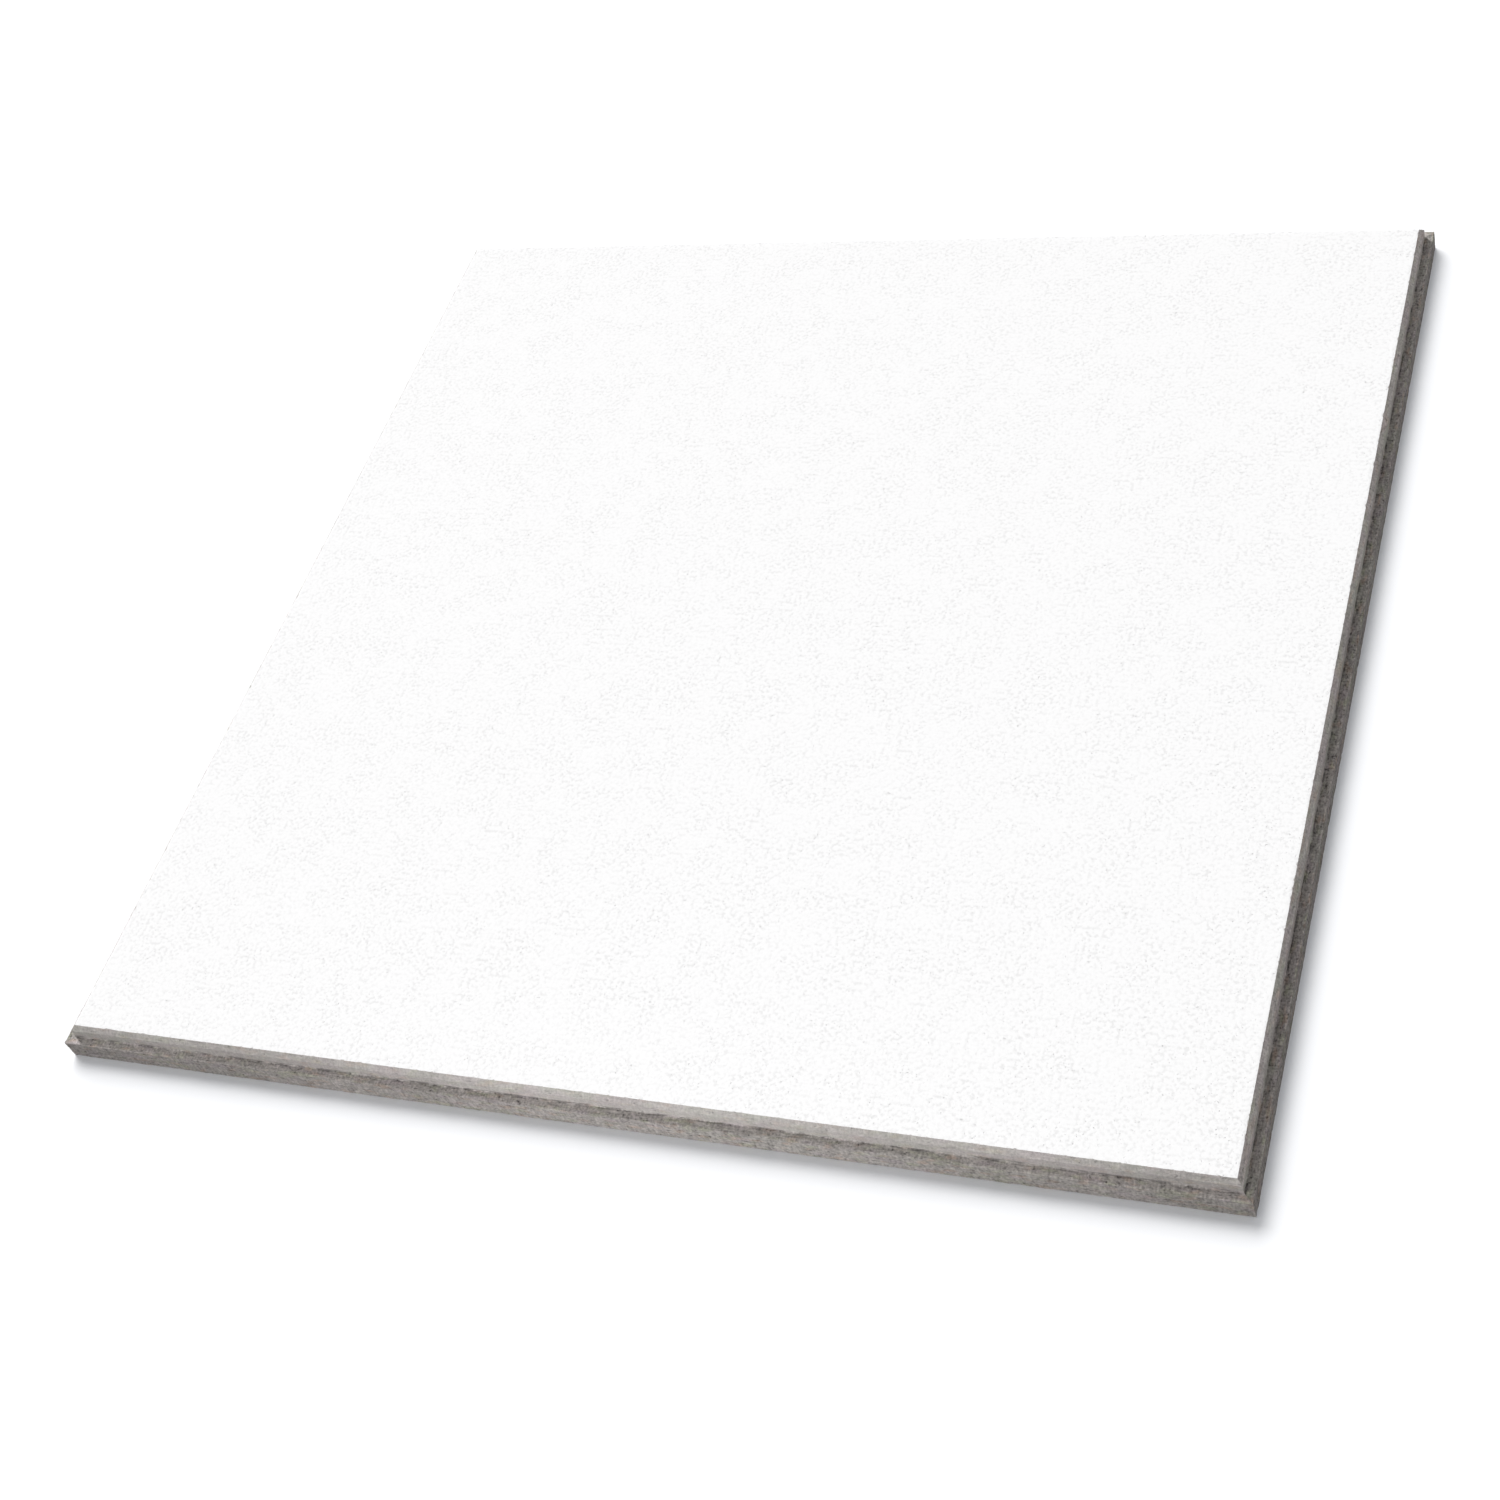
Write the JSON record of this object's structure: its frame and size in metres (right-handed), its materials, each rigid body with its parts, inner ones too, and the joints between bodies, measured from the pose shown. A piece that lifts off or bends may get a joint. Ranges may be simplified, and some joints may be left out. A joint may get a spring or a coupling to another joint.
{
  "type": "ceiling tile",
  "caption": "Square mineral-fibre ceiling tile with a white painted face and bevelled tegular edges whose ledges rest on a suspended grid.",
  "frame": {"origin": "centre of the tile's back, the face that lies on the floor", "axes": "+X and +Y along the sides, +Z out of the painted face"},
  "size_m": [0.6032, 0.6032, 0.0191],
  "materials": {
    "mineral_board": "matte"
  },
  "bodies": {
    "root": {"tile": "mineral_board"}
  },
  "joints": []
}
